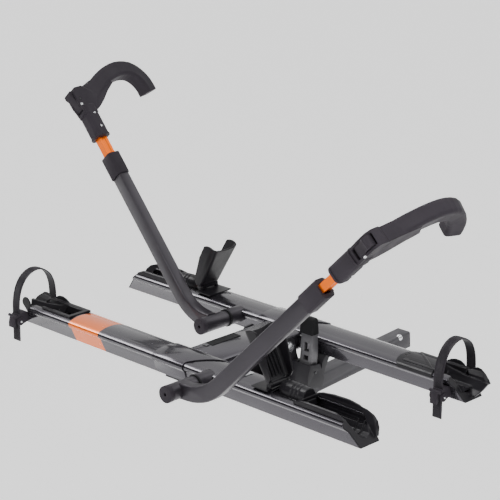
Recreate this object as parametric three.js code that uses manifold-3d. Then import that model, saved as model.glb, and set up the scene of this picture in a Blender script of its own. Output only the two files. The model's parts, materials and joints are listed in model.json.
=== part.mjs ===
// Two-bike platform rack for a 2 in hitch receiver.
// Millimetres. +X runs along the wheel trays, +Y towards the vehicle, +Z up.
// The origin is the centre of the hitch-pin hole in the stinger tube.

import * as THREE from 'three';
import { mergeVertices } from 'three/addons/utils/BufferGeometryUtils.js';
import Module from 'manifold-3d';

const wasm = await Module();
wasm.setup();

// ---- driving dimensions -------------------------------------------------

const GAP = 0.3;
const ROUND_SIDES = 24;

const STINGER_TILT_DEG = 3.9;
const STINGER_SIDE = 50.8;
const STINGER_WALL = 5;
const STINGER_CORNER = 5;
const STINGER_REAR = -472;
const STINGER_FRONT = 117;
const PIN_HOLE_RADIUS = 8;
const CAM_BALL_RADIUS = 10;
const CAM_BALL_ALONG = 74;
const CAM_BALL_INSET = 6;

const TILT_Y = -471;
const TILT_Z = 158;
const TILT_BOLT_RADIUS = 8;
const CHEEK_INNER = 71;
const CHEEK_THICK = 6;
const BOLT_HEAD_RADIUS = 13;

const SPINE_HALF_WIDTH = 70;
const SPINE_BOTTOM = 134;
const SPINE_TOP = 187;
const SPINE_WALL = 4;

const TRAY_MID = -15;
const TRAY_HALF_LENGTH = 650;
const TRAY_END_SLOPE = 54;
const TRAY_BOTTOM = 132;
const TRAY_HEIGHT = 62.5;
const OUTER_TRAY_Y = -802;
const INNER_TRAY_Y = -396;
const END_PLATE = 4;

const HINGE_ALONG = 338;
const HINGE_HEIGHT = 76;
const HINGE_RADIUS = 8;
const HINGE_PIN_RADIUS = 3;
const CHOCK_LEAN_DEG = 30;
const TRAY_CENTRE = 35;

const ARM_AXIS_HEIGHT = 40;
const ARM_BOSS_RADIUS = 24;
const ARM_BARREL_RADIUS = 22.5;
const ARM_SHAFT_RADIUS = 9;
const ARM_PLANE = -109;
const ARM_YAW_DEG = 3.3;
const ARM_DEEP = 45;
const ARM_THICK = 34;
const ARM_WALL = 3;
const ARM_CORNER_RADIUS = 6;
const ROD_DEEP = 29;
const ROD_THICK = 22;
const COLLAR_LENGTH = 70;

const STRAP_WIDTH = 24;
const STRAP_THICK = 3;

// ---- colours ------------------------------------------------------------

const PAINT = 0x6f7076;
const ARM_GREY = 0x66666b;
const ORANGE = 0xe8821e;
const PLASTIC = 0x1d1d1f;
const POWDER = 0x3c3c40;
const ZINC = 0xc9ccd0;
const RUBBER = 0x111112;

// ---- helpers ------------------------------------------------------------

const rack = new THREE.Group();

function solidOf(geometry) {
  const plain = geometry.clone();
  plain.deleteAttribute('normal');
  plain.deleteAttribute('uv');
  const merged = mergeVertices(plain, 1e-4);
  const mesh = new wasm.Mesh({
    numProp: 3,
    vertProperties: new Float32Array(merged.attributes.position.array),
    triVerts: new Uint32Array(merged.index.array),
  });
  mesh.merge();
  return new wasm.Manifold(mesh);
}

function geometryOf(solid) {
  const mesh = solid.getMesh();
  const geometry = new THREE.BufferGeometry();
  geometry.setAttribute('position', new THREE.BufferAttribute(mesh.vertProperties, 3));
  geometry.setIndex(new THREE.BufferAttribute(mesh.triVerts, 1));
  geometry.computeVertexNormals();
  return geometry;
}

function addNode(name, solid, color) {
  const material = new THREE.MeshStandardMaterial({ color, roughness: 0.6, metalness: 0.1 });
  const mesh = new THREE.Mesh(geometryOf(solid), material);
  mesh.name = name;
  rack.add(mesh);
}

function shapeOf(points) {
  return new THREE.Shape(points.map(([x, y]) => new THREE.Vector2(x, y)));
}

function extrude(points, depth, holes = []) {
  const shape = shapeOf(points);
  holes.forEach((hole) => shape.holes.push(shapeOf(hole)));
  return new THREE.ExtrudeGeometry(shape, { depth, bevelEnabled: false });
}

const X_AXIS = new THREE.Vector3(1, 0, 0);
const Y_AXIS = new THREE.Vector3(0, 1, 0);
const Z_AXIS = new THREE.Vector3(0, 0, 1);

// A (Y, Z) outline run along X.
function alongX(points, from, to, holes = []) {
  const geometry = extrude(points, Math.abs(to - from), holes);
  geometry.applyMatrix4(new THREE.Matrix4().makeBasis(Y_AXIS, Z_AXIS, X_AXIS));
  geometry.translate(Math.min(from, to), 0, 0);
  return solidOf(geometry);
}

// An (X, Z) outline run along Y.
function alongY(points, from, to, holes = []) {
  const geometry = extrude(points, Math.abs(to - from), holes);
  const minusY = new THREE.Vector3(0, -1, 0);
  geometry.applyMatrix4(new THREE.Matrix4().makeBasis(X_AXIS, Z_AXIS, minusY));
  geometry.translate(0, Math.max(from, to), 0);
  return solidOf(geometry);
}

function box(x0, x1, y0, y1, z0, z1) {
  const geometry = new THREE.BoxGeometry(Math.abs(x1 - x0), y1 - y0, z1 - z0);
  geometry.translate((x0 + x1) / 2, (y0 + y1) / 2, (z0 + z1) / 2);
  return solidOf(geometry);
}

function rodAlongY(x, z, radius, from, to, sides = ROUND_SIDES) {
  const geometry = new THREE.CylinderGeometry(radius, radius, to - from, sides);
  geometry.translate(x, (from + to) / 2, z);
  return solidOf(geometry);
}

function rodAlongX(y, z, radius, from, to, sides = ROUND_SIDES) {
  const geometry = new THREE.CylinderGeometry(radius, radius, to - from, sides);
  geometry.rotateZ(-Math.PI / 2);
  geometry.translate((from + to) / 2, y, z);
  return solidOf(geometry);
}

function rodAlongZ(x, y, radius, from, to, sides = ROUND_SIDES) {
  const geometry = new THREE.CylinderGeometry(radius, radius, to - from, sides);
  geometry.rotateX(Math.PI / 2);
  geometry.translate(x, y, (from + to) / 2);
  return solidOf(geometry);
}

function roundedRect(width, height, radius, steps = 3) {
  const points = [];
  const corners = [[1, 1, 0], [-1, 1, 90], [-1, -1, 180], [1, -1, 270]];
  corners.forEach(([sx, sy, start]) => {
    for (let i = 0; i <= steps; i += 1) {
      const angle = THREE.MathUtils.degToRad(start + (90 * i) / steps);
      const cx = sx * (width / 2 - radius);
      const cy = sy * (height / 2 - radius);
      points.push([cx + radius * Math.cos(angle), cy + radius * Math.sin(angle)]);
    }
  });
  return points;
}

// Moves every corner of a counter-clockwise outline outward by a distance.
function grown(points, distance) {
  const count = points.length;
  return points.map((point, i) => {
    const before = points[(i + count - 1) % count];
    const after = points[(i + 1) % count];
    const a = new THREE.Vector2(point[0] - before[0], point[1] - before[1]).normalize();
    const b = new THREE.Vector2(after[0] - point[0], after[1] - point[1]).normalize();
    const normal = new THREE.Vector2(a.y + b.y, -a.x - b.x).normalize();
    const reach = distance / Math.max(0.4, normal.dot(new THREE.Vector2(a.y, -a.x)));
    return [point[0] + normal.x * reach, point[1] + normal.y * reach];
  });
}

function shifted(points, dx, dy) {
  return points.map(([x, y]) => [x + dx, y + dy]);
}

function union(list) {
  return list.reduce((sum, item) => sum.add(item));
}

// ---- stinger and pivot bracket (tilted with the tube) -------------------

const stingerTilt = THREE.MathUtils.degToRad(STINGER_TILT_DEG);

function onStinger(solid) {
  return solid.rotate([STINGER_TILT_DEG, 0, 0]);
}

const halfSide = STINGER_SIDE / 2;
const tubeOutline = roundedRect(STINGER_SIDE, STINGER_SIDE, STINGER_CORNER);
const tubeBore = roundedRect(STINGER_SIDE - 2 * STINGER_WALL, STINGER_SIDE - 2 * STINGER_WALL, 2, 1);
const ballCentre = halfSide - CAM_BALL_INSET;

function ball(radius) {
  const geometry = new THREE.SphereGeometry(radius, 16, 10);
  geometry.translate(ballCentre, CAM_BALL_ALONG, ballCentre);
  return solidOf(geometry);
}

const hitchTube = alongY(tubeOutline, STINGER_REAR, STINGER_FRONT, [tubeBore])
  .subtract(rodAlongX(0, 0, PIN_HOLE_RADIUS, -60, 60, 32))
  .subtract(ball(CAM_BALL_RADIUS + GAP));
addNode('hitch_tube', onStinger(hitchTube), POWDER);
addNode('cam_ball', onStinger(ball(CAM_BALL_RADIUS)), ZINC);

const tiltS = TILT_Y * Math.cos(stingerTilt) + TILT_Z * Math.sin(stingerTilt);
const tiltT = TILT_Z * Math.cos(stingerTilt) - TILT_Y * Math.sin(stingerTilt);
const cheekBase = halfSide + GAP;
const cheekOutline = [
  [tiltS - 26, cheekBase],
  [tiltS + 62, cheekBase],
  [tiltS + 66, cheekBase + 22],
  [tiltS + 34, tiltT - 34],
  [tiltS + 26, tiltT + 12],
  [tiltS + 14, tiltT + 25],
  [tiltS - 14, tiltT + 25],
  [tiltS - 26, tiltT + 12],
];
const cheekOuter = CHEEK_INNER + CHEEK_THICK;
const floorOutline = [
  [tiltS - 26, cheekBase],
  [tiltS + 62, cheekBase],
  [tiltS + 62, cheekBase + CHEEK_THICK],
  [tiltS - 26, cheekBase + CHEEK_THICK],
];
const backWall = [
  [tiltS + 56, cheekBase],
  [tiltS + 62, cheekBase],
  [tiltS + 62, cheekBase + 46],
  [tiltS + 56, cheekBase + 46],
];
const bracket = union([
  alongX(cheekOutline, CHEEK_INNER, cheekOuter),
  alongX(cheekOutline, -cheekOuter, -CHEEK_INNER),
  alongX(floorOutline, -cheekOuter, cheekOuter),
  alongX(backWall, -cheekOuter, cheekOuter),
]).subtract(rodAlongX(tiltS, tiltT, TILT_BOLT_RADIUS + GAP, -100, 100));
addNode('pivot_bracket', onStinger(bracket), POWDER);

const boltStart = cheekOuter + GAP;
const pivotBolt = union([
  rodAlongX(TILT_Y, TILT_Z, TILT_BOLT_RADIUS, -boltStart - 14, boltStart + 1),
  rodAlongX(TILT_Y, TILT_Z, BOLT_HEAD_RADIUS + 3, boltStart, boltStart + 2),
  rodAlongX(TILT_Y, TILT_Z, BOLT_HEAD_RADIUS, boltStart, boltStart + 11, 6),
]);
addNode('pivot_bolt', pivotBolt, ZINC);
const pivotNut = rodAlongX(TILT_Y, TILT_Z, BOLT_HEAD_RADIUS, -boltStart - 11, -boltStart, 6)
  .subtract(rodAlongX(TILT_Y, TILT_Z, TILT_BOLT_RADIUS + GAP, -100, -60));
addNode('pivot_nut', pivotNut, ZINC);

// ---- tilt lever on the outside of the near cheek ------------------------

const LEVER_LEFT = 95;
const LEVER_RIGHT = 138;
const LEVER_PIVOT_Y = -436;
const LEVER_PIVOT_Z = 92;

const housingOutline = [
  [-468, 52], [-408, 40], [-400, 66], [-417, 112], [-456, 116], [-466, 84],
];
const housingHollow = [
  [-462, 64], [-408, 53], [-406, 68], [-421, 130], [-452, 130], [-460, 84],
];
// Flange that carries the housing from the underside of the inner tray.
const housingFlange = [
  [-412, 84], [-403, 76], [-392, 100], [-380, 122], [-334, 122], [-334, 131.7], [-393, 131.7], [-408, 114],
];
const leverHousing = alongX(housingOutline, cheekOuter + GAP, LEVER_RIGHT + 9)
  .add(alongX(housingFlange, cheekOuter + GAP, LEVER_RIGHT + 9))
  .subtract(alongX(housingHollow, LEVER_LEFT - 4, LEVER_RIGHT + 4))
  .subtract(rodAlongX(LEVER_PIVOT_Y, LEVER_PIVOT_Z, 4 + GAP, LEVER_LEFT - 9, 200));
addNode('lever_housing', leverHousing, POWDER);
const leverPin = rodAlongX(LEVER_PIVOT_Y, LEVER_PIVOT_Z, 4, LEVER_LEFT - 8, LEVER_RIGHT + 11, 16);
addNode('lever_pin', leverPin, ZINC);

const leverProfile = [
  [-446, 74], [-428, 74], [-420, 100], [-417, 150], [-418, 205], [-424, 238],
  [-430, 238], [-437, 205], [-440, 150], [-446, 105],
];
const leverHollow = [
  [-440, 60], [-420, 60], [-400, 100], [-400, 250], [-425, 250], [-432, 205], [-435, 150], [-440, 105],
];
const leverShell = alongX(leverProfile, LEVER_LEFT, LEVER_RIGHT)
  .subtract(alongX(leverHollow, LEVER_LEFT + 4, LEVER_RIGHT - 4))
  .subtract(box(LEVER_LEFT + 13, LEVER_LEFT + 30, -460, -400, 146, 172))
  .subtract(box(LEVER_LEFT + 13, LEVER_LEFT + 30, -460, -400, 122, 136));
const leverRoller = rodAlongX(LEVER_PIVOT_Y, LEVER_PIVOT_Z, 8, LEVER_LEFT, LEVER_RIGHT, 16);
const leverBore = rodAlongX(LEVER_PIVOT_Y, LEVER_PIVOT_Z, 4 + GAP, LEVER_LEFT - 5, LEVER_RIGHT + 5, 16);
const padBlock = alongX(
  [[-443, 198], [-416, 198], [-420, 240], [-424, 246], [-434, 246], [-438, 240]],
  LEVER_LEFT - 2.5,
  LEVER_RIGHT + 2.5,
);
const leverTop = [[-438.5, 196], [-417.4, 196], [-424, 240], [-431, 240]];
addNode('tilt_lever', leverShell.add(leverRoller).subtract(leverBore), POWDER);
const padPocket = alongX(grown(leverProfile, GAP), LEVER_LEFT - GAP, LEVER_RIGHT + GAP);
const padFill = alongX(leverTop, LEVER_LEFT - GAP, LEVER_RIGHT + GAP);
addNode('lever_pad', padBlock.subtract(padPocket).subtract(padFill), RUBBER);

// ---- spine between the trays --------------------------------------------

const SPINE_FRONT_Y = INNER_TRAY_Y - 17.5 - 1;
const SPINE_REAR_Y = OUTER_TRAY_Y + 88;

function spineOutline(halfWidth, bottom, top, shoulder) {
  return [
    [-halfWidth + 4, bottom],
    [halfWidth - 4, bottom],
    [halfWidth, bottom + 6],
    [halfWidth, top - shoulder],
    [halfWidth - 5, top - shoulder * 0.35],
    [halfWidth - shoulder, top],
    [-halfWidth + shoulder, top],
    [-halfWidth + 5, top - shoulder * 0.35],
    [-halfWidth, top - shoulder],
    [-halfWidth, bottom + 6],
  ];
}

const spineShell = spineOutline(SPINE_HALF_WIDTH, SPINE_BOTTOM, SPINE_TOP, 16);
const spineVoid = spineOutline(
  SPINE_HALF_WIDTH - SPINE_WALL,
  SPINE_BOTTOM + SPINE_WALL,
  SPINE_TOP - SPINE_WALL,
  14,
);
const spineBeam = alongY(spineShell, SPINE_REAR_Y, SPINE_FRONT_Y, [spineVoid])
  .subtract(rodAlongX(TILT_Y, TILT_Z, TILT_BOLT_RADIUS + GAP, -100, 100));
addNode('spine_beam', spineBeam, PAINT);
const inlay = box(-52, -22, -664, -556, SPINE_TOP + GAP, SPINE_TOP + 1.5);
addNode('spine_inlay', inlay, RUBBER);

// ---- wheel trays --------------------------------------------------------

const trayOutline = [
  [0, 0], [69, 0], [77, 33], [78, 36], [82, 39], [85.5, 43], [86, 48], [84, 52.5], [80, 55.5], [70, 58.5],
  [57, 61], [46, 62.2], [34.5, 62.5], [23, 62.2], [12, 61], [-1, 58.5], [-11, 55.5], [-15, 52.5], [-17, 48],
  [-16.5, 43], [-13, 39], [-9, 36], [-8, 33],
];
const trayVoid = [
  [4, 3], [65, 3], [74, 37], [80, 43], [79, 50], [73, 53.5], [56, 57.5],
  [34.5, 59], [13, 57.5], [-4, 53.5], [-10, 50], [-11, 43], [-5, 37],
];

// side is +1 when the wheel cup is at the +X end, -1 when it is at the -X end.
const TRAYS = [
  { label: 'outer', y: OUTER_TRAY_Y, side: 1 },
  { label: 'inner', y: INNER_TRAY_Y, side: -1 },
];

function trayX(side, along) {
  return TRAY_MID + side * along;
}

function endWedge(y, inset) {
  const half = TRAY_HALF_LENGTH - inset;
  const top = half - TRAY_END_SLOPE * 1.6;
  const z = TRAY_BOTTOM;
  return alongY(
    [
      [TRAY_MID - half, z], [TRAY_MID + half, z],
      [TRAY_MID + top, z + TRAY_HEIGHT * 1.6], [TRAY_MID - top, z + TRAY_HEIGHT * 1.6],
    ],
    y - 60,
    y + 140,
  );
}

function traySection(y, outline, from, to, holes = []) {
  const moved = holes.map((hole) => shifted(hole, y, TRAY_BOTTOM));
  return alongX(shifted(outline, y, TRAY_BOTTOM), from, to, moved);
}

function trayBlock({ y, side }, along0, along1, y0, y1, z0, z1) {
  const a = trayX(side, along0);
  const b = trayX(side, along1);
  const z = TRAY_BOTTOM;
  return box(Math.min(a, b), Math.max(a, b), y + y0, y + y1, z + z0, z + z1);
}

// A tray-length outline in (along, height) run across the tray.
function acrossTray({ y, side }, points, y0, y1) {
  const placed = points.map(([along, height]) => [trayX(side, along), TRAY_BOTTOM + height]);
  return alongY(placed, y + y0, y + y1);
}

function trayProfile({ y, side }, points, along0, along1) {
  return alongX(shifted(points, y, TRAY_BOTTOM), trayX(side, along0), trayX(side, along1));
}

const CUP_START = 344;
const CRADLE_START = 448;

TRAYS.forEach((tray) => {
  const full = TRAY_HALF_LENGTH + 5;
  const body = traySection(tray.y, trayOutline, TRAY_MID - full, TRAY_MID + full, [trayVoid])
    .intersect(endWedge(tray.y, END_PLATE + GAP))
    .subtract(trayBlock(tray, CUP_START, 700, 4, 65, 20, 80))
    .subtract(trayBlock(tray, -700, -CRADLE_START, 4, 65, 20, 80));
  addNode(`tray_${tray.label}`, body, PAINT);
});

const nearTray = grown(trayOutline, GAP);

// ---- saddle sleeves that carry the trays on the spine -------------------

const SADDLE_THICK = 3;
const SADDLE_LEFT = -94;
const SADDLE_RIGHT = 90;

TRAYS.forEach((tray) => {
  const skin = grown(trayOutline, GAP + SADDLE_THICK);
  const cut = alongX(shifted(nearTray, tray.y, TRAY_BOTTOM), SADDLE_LEFT - 5, SADDLE_RIGHT + 5);
  const slant = solidOf(
    extrude([[24, tray.y - 30], [24, tray.y - 6], [88, tray.y + 70], [88, tray.y + 160],
      [160, tray.y + 160], [160, tray.y - 30]], 200),
  ).translate([0, 0, TRAY_BOTTOM - 20]);
  const sleeve = alongX(shifted(skin, tray.y, TRAY_BOTTOM), SADDLE_LEFT, SADDLE_RIGHT)
    .subtract(cut)
    .subtract(box(SADDLE_LEFT - 5, SADDLE_RIGHT + 5, tray.y - 40, tray.y + 120, 100, TRAY_BOTTOM + 12))
    .subtract(slant)
    .subtract(box(-SPINE_HALF_WIDTH - 1, SPINE_HALF_WIDTH + 1, SPINE_REAR_Y - GAP, -600, 90, 220))
    .subtract(box(-SPINE_HALF_WIDTH - 1, SPINE_HALF_WIDTH + 1, -500, SPINE_FRONT_Y + GAP, 90, 220));
  const plateTop = TRAY_BOTTOM - GAP;
  addNode(`saddle_${tray.label}`, sleeve, PAINT);
  const foot = box(-64, 64, tray.y + 2, tray.y + 67, plateTop - 6, plateTop);
  addNode(`clamp_plate_${tray.label}`, foot, POWDER);
});

// ---- lug with two holes on the crown of the outer tray ------------------

const lugBase = TRAY_BOTTOM + TRAY_HEIGHT + GAP;
const lug = box(178, 212, OUTER_TRAY_Y + 26, OUTER_TRAY_Y + 60, lugBase, lugBase + 2.2)
  .subtract(rodAlongZ(188, OUTER_TRAY_Y + 43, 4.5, 180, 220))
  .subtract(rodAlongZ(202, OUTER_TRAY_Y + 43, 4.5, 180, 220));
addNode('tray_lug', lug, ZINC);

// ---- wheel cups ---------------------------------------------------------

const troughOutline = [
  [-2, 100], [-2, 66], [9, 38], [20, 20], [35, 14], [50, 20], [61, 38], [72, 66], [72, 100],
];
const troughRib = [
  [5, 44], [8, 37.5], [19, 19], [35, 12.8], [51, 19], [62, 37.5], [64.4, 44],
  [59.2, 44], [57, 39], [47.5, 23], [35, 18], [22.5, 23], [13, 39], [10.8, 44],
];

// The wall on the far side stays high to the end of the tray.
const farWallSide = [[560, 12], [560, 74], [604, 68], [626, 60], [638, 48], [644, 30], [646, 12]];
const farWallSection = [[58, 10], [70, 10], [78, 42], [80, 76], [66, 76]];

TRAYS.forEach((tray) => {
  const lower = trayBlock(tray, CUP_START + 2, 640, 8, 60, 9, 58);
  const upper = trayProfile(tray, [[-9, 50], [78, 50], [79, 76], [74, 78], [-4, 73], [-8, 70]], 430, 660);
  const sideView = [
    [CUP_START, 0], [CUP_START, 60], [428, 62], [452, 70], [490, 75], [540, 77], [576, 72],
    [596, 62.5], [TRAY_HALF_LENGTH + 6, -7],
  ];
  const cutter = traySection(tray.y, nearTray, trayX(tray.side, 300), trayX(tray.side, 700));
  const shoulder = upper.subtract(cutter);
  const endFace = traySection(tray.y, trayOutline, trayX(tray.side, 500), trayX(tray.side, 700))
    .subtract(endWedge(tray.y, END_PLATE));
  const nose = new THREE.LatheGeometry(
    [
      [0, 0], [8, 1.4], [14.5, 5], [19.5, 10.5], [23, 18], [25, 27], [25.8, 38], [25.8, 50], [24.4, 52],
      [24.4, 55], [25.6, 57], [25.6, 62], [24.2, 64], [24.2, 67], [25.2, 69], [25.2, 74], [23.8, 76],
      [23.8, 96], [0, 96],
    ].map(([r, h]) => new THREE.Vector2(r, h)),
    ROUND_SIDES,
  );
  nose.rotateZ(-Math.PI / 2);
  if (tray.side < 0) {
    nose.rotateY(Math.PI);
  }
  nose.translate(trayX(tray.side, 350), tray.y + TRAY_CENTRE, TRAY_BOTTOM + 66);
  const noseSolid = solidOf(nose).intersect(trayBlock(tray, 345, 460, 8, 62, 9, 100));
  const trough = trayProfile(tray, troughOutline, 448, 700);
  const ribs = [586, 606].map((along) => trayProfile(tray, troughRib, along, along + 2.5));
  const shell = union([lower, shoulder, endFace])
    .intersect(acrossTray(tray, sideView, -60, 140))
    .subtract(trough);
  const farWall = acrossTray(tray, farWallSide, 60, 76)
    .intersect(trayProfile(tray, farWallSection, 560, 660))
    .subtract(cutter.intersect(endWedge(tray.y, END_PLATE)))
    .subtract(trough);
  const inside = endWedge(tray.y, 0);
  const cup = union([shell, farWall, noseSolid, ...ribs.map((rib) => rib.intersect(inside))]);
  addNode(`wheel_cup_${tray.label}`, cup, PLASTIC);
});

// ---- folding wheel chocks -----------------------------------------------

const lean = THREE.MathUtils.degToRad(CHOCK_LEAN_DEG);

// (up the chock, towards the wheel) to (along the tray, height)
function chockPoints(points) {
  return points.map(([w, d]) => [
    HINGE_ALONG - w * Math.sin(lean) + d * Math.cos(lean),
    HINGE_HEIGHT + w * Math.cos(lean) + d * Math.sin(lean),
  ]);
}

// The chock is a channel: a back plate whose two sides turn towards the wheel as tall rounded walls.
const CHANNEL_LOW = 5;
const CHANNEL_THICK = 5;
const CHANNEL_CORNER = 10;
const CHANNEL_STEPS_UP = 8;
const CHANNEL_STATIONS = [0, 0.17, 0.34, 0.5, 0.56, 0.62, 0.68, 0.74, 0.8, 0.86, 0.93, 1];
const PLATE_SHARE = 0.5;
const CORNER_SHARE = 0.74;

function channelHalfWidth(w) {
  return 37 + w * 0.045;
}

function channelDepth(w) {
  return Math.min(38, 20 + w * 0.2);
}

function channelTop(reach) {
  const t = Math.max(0, reach - PLATE_SHARE) / (1 - PLATE_SHARE);
  const plate = 145 + 4 * Math.min(1, reach / PLATE_SHARE) ** 2;
  return plate + 2 * Math.sin(Math.PI * t) - 14 * t ** 4;
}

function channelLow(reach) {
  const t = Math.max(0, reach - CORNER_SHARE) / (1 - CORNER_SHARE);
  return CHANNEL_LOW + 9 * t;
}

// A point of the section at a reach from its middle, with the way out of the channel at that point.
function channelPoint(reach, w) {
  const flat = channelHalfWidth(w) - CHANNEL_CORNER;
  if (reach <= PLATE_SHARE) {
    return { y: (flat * reach) / PLATE_SHARE, d: 0, outY: 0, outD: -1 };
  }
  if (reach <= CORNER_SHARE) {
    const turn = ((reach - PLATE_SHARE) / (CORNER_SHARE - PLATE_SHARE)) * (Math.PI / 2);
    const y = flat + CHANNEL_CORNER * Math.sin(turn);
    const d = CHANNEL_CORNER * (1 - Math.cos(turn));
    return { y, d, outY: Math.sin(turn), outD: -Math.cos(turn) };
  }
  const t = (reach - CORNER_SHARE) / (1 - CORNER_SHARE);
  const d = CHANNEL_CORNER + (channelDepth(w) - CHANNEL_CORNER) * t;
  return { y: flat + CHANNEL_CORNER, d, outY: 1, outD: 0 };
}

// One closed sheet of the channel's thickness, as (up the chock, towards the wheel, across).
function channelMesh(place) {
  const inner = [];
  const outer = [];
  const right = CHANNEL_STATIONS.map((reach) => [reach, 1]);
  const left = right.slice(1).reverse().map(([reach]) => [reach, -1]);
  const stations = [...left, ...right];
  stations.forEach(([reach, hand]) => {
    const low = channelLow(reach);
    const top = channelTop(reach);
    for (let j = 0; j <= CHANNEL_STEPS_UP; j += 1) {
      const w = low + ((top - low) * j) / CHANNEL_STEPS_UP;
      const at = channelPoint(reach, w);
      inner.push(place(w, at.d, hand * at.y));
      outer.push(place(w, at.d + CHANNEL_THICK * at.outD, hand * (at.y + CHANNEL_THICK * at.outY)));
    }
  });
  const rows = CHANNEL_STEPS_UP + 1;
  const offset = inner.length;
  const faces = [];
  const quad = (a, b, c, d) => faces.push(a, b, c, a, c, d);
  for (let i = 0; i < stations.length - 1; i += 1) {
    for (let j = 0; j < rows - 1; j += 1) {
      const a = i * rows + j;
      quad(a, a + rows, a + rows + 1, a + 1);
      quad(offset + a, offset + a + 1, offset + a + rows + 1, offset + a + rows);
    }
    const low = i * rows;
    const high = i * rows + rows - 1;
    quad(low, offset + low, offset + low + rows, low + rows);
    quad(high, high + rows, offset + high + rows, offset + high);
  }
  for (let j = 0; j < rows - 1; j += 1) {
    const last = (stations.length - 1) * rows + j;
    quad(j, j + 1, offset + j + 1, offset + j);
    quad(last, offset + last, offset + last + 1, last + 1);
  }
  const geometry = new THREE.BufferGeometry();
  geometry.setAttribute('position', new THREE.Float32BufferAttribute([...inner, ...outer].flat(), 3));
  geometry.setIndex(faces);
  return geometry;
}

const chockRib = [[9, -2.3], [9, 2.2], [34, 6], [104, 6], [126, 1], [126, -2.3]];

TRAYS.forEach((tray) => {
  const middle = TRAY_CENTRE;
  const hingeX = trayX(tray.side, HINGE_ALONG);
  const hingeZ = TRAY_BOTTOM + HINGE_HEIGHT;
  const yMid = tray.y + middle;
  const across = (points, a, b) => acrossTray(tray, chockPoints(points), middle + a, middle + b);
  const ribs = [-24, -12, 0, 12, 24].map((at) => across(chockRib, at - 1.5, at + 1.5));
  const channel = channelMesh((w, d, y) => {
    const [[along, height]] = chockPoints([[w, d]]);
    return [trayX(tray.side, along), yMid + y, TRAY_BOTTOM + height];
  });
  if (tray.side < 0) {
    channel.index.array.reverse();
  }
  const shell = solidOf(channel);
  const barrel = rodAlongY(hingeX, hingeZ, HINGE_RADIUS, yMid - 26, yMid + 26);
  const neck = across([[0, -6], [0, 4], [16, 3], [16, -6]], -25, 25);
  const bore = rodAlongY(hingeX, hingeZ, HINGE_PIN_RADIUS + GAP, yMid - 60, yMid + 60, 16);
  const earRoom = [-36, 26.4].map((at) => rodAlongY(
    hingeX,
    hingeZ,
    HINGE_RADIUS + 1,
    yMid + at,
    yMid + at + 9.6,
  ));
  const chock = union([shell, ...ribs, barrel, neck]).subtract(bore).subtract(union(earRoom));
  addNode(`chock_${tray.label}`, chock, PLASTIC);

  const plate = trayBlock(tray, 285, 341, -9, 79, 62.5 + GAP, 66);
  const ears = [-35, 27].map((at) => union([
    rodAlongY(hingeX, hingeZ, HINGE_RADIUS, yMid + at, yMid + at + 8),
    trayBlock(tray, HINGE_ALONG - 8, HINGE_ALONG + 3, middle + at, middle + at + 8, 63, HINGE_HEIGHT),
  ]));
  const plateSolid = union([plate, ...ears]).subtract(bore);
  addNode(`chock_plate_${tray.label}`, plateSolid, PLASTIC);
  const pin = rodAlongY(hingeX, hingeZ, HINGE_PIN_RADIUS, yMid - 36, yMid + 36, 16);
  addNode(`chock_pin_${tray.label}`, pin, ZINC);
});

// ---- strap cradles, straps and buckles ----------------------------------

const strapPath = new THREE.CatmullRomCurve3(
  [
    [-37, -48], [-36.5, -10], [-36, 30], [-35, 68], [-27, 103], [-10, 132], [12, 148],
    [35, 153], [57, 148], [80, 131], [94, 104], [99, 74], [99.5, 40],
  ].map(([a, b]) => new THREE.Vector3(a, b, 0)),
);

function ribbon(thickness, from = 0, to = 1) {
  const count = 40;
  const left = [];
  const right = [];
  for (let i = 0; i <= count; i += 1) {
    const t = from + ((to - from) * i) / count;
    const point = strapPath.getPointAt(t);
    const tangent = strapPath.getTangentAt(t);
    left.push([point.x - (tangent.y * thickness) / 2, point.y + (tangent.x * thickness) / 2]);
    right.push([point.x + (tangent.y * thickness) / 2, point.y - (tangent.x * thickness) / 2]);
  }
  return [...left, ...right.reverse()];
}

// Far side of the cradle: a curved sheet that leans out of the tray, and two lobes above it.
const cradleSheet = [
  [28, 13], [32, 8], [46, 19], [57, 35], [64.6, 50], [64.6, 60], [60, 60], [52, 42], [42, 25],
];
const cradleSheetSide = [
  [524, 62], [542, 57], [560, 54], [600, 49], [640, 47], [678, 45], [668, 26], [655, 8], [640, 10], [623, 20],
  [600, 29], [575, 31], [540, 31], [526, 42],
];
const cradleLobes = [
  [524, 61], [530, 67], [541, 73], [556, 77], [573, 76], [585, 70], [592, 62.5], [610, 62.5], [615, 68],
  [628, 73], [641, 71], [655, 61], [667, 47], [672, 38], [664, 33], [640, 33], [600, 60],
];
const cradleFlare = [[60.5, 36], [60.5, 54], [70, 64], [75.5, 66], [75.5, 48], [66, 32]];
const cradleHorn = [
  [600, 26], [600, 48], [626, 49], [629, 58], [635, 65], [644, 69], [653, 68], [660, 62],
  [663, 53], [660, 44], [650, 36], [640, 26],
];
const cradleNearWall = [[520, 26], [520, 50], [560, 52], [600, 48], [616, 36], [624, 26]];
const cradleWeb = [[8, 24], [62, 24], [62, 60], [55, 48], [46, 38], [35, 34], [20, 36], [12, 44], [8, 50]];
const cradleFloor = [[8, 24], [62, 24], [62, 40], [58, 40], [50, 32], [35, 29], [20, 32], [12, 40], [8, 40]];

// The inner cradle closes the top of the tray with a plate that ends in an arc, with notches and a ridge.
const lidPlan = [
  [431, -18], [421, -8], [415, 6], [412, 22], [412, 40], [415, 56], [421, 70], [431, 83],
  [512, 83], [550, -18],
];
const lidNotches = [[424, 26], [422, 40], [424, 60]];
const lidRidge = [[446, 64], [450, 68], [535, 3], [531, -1]];

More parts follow.
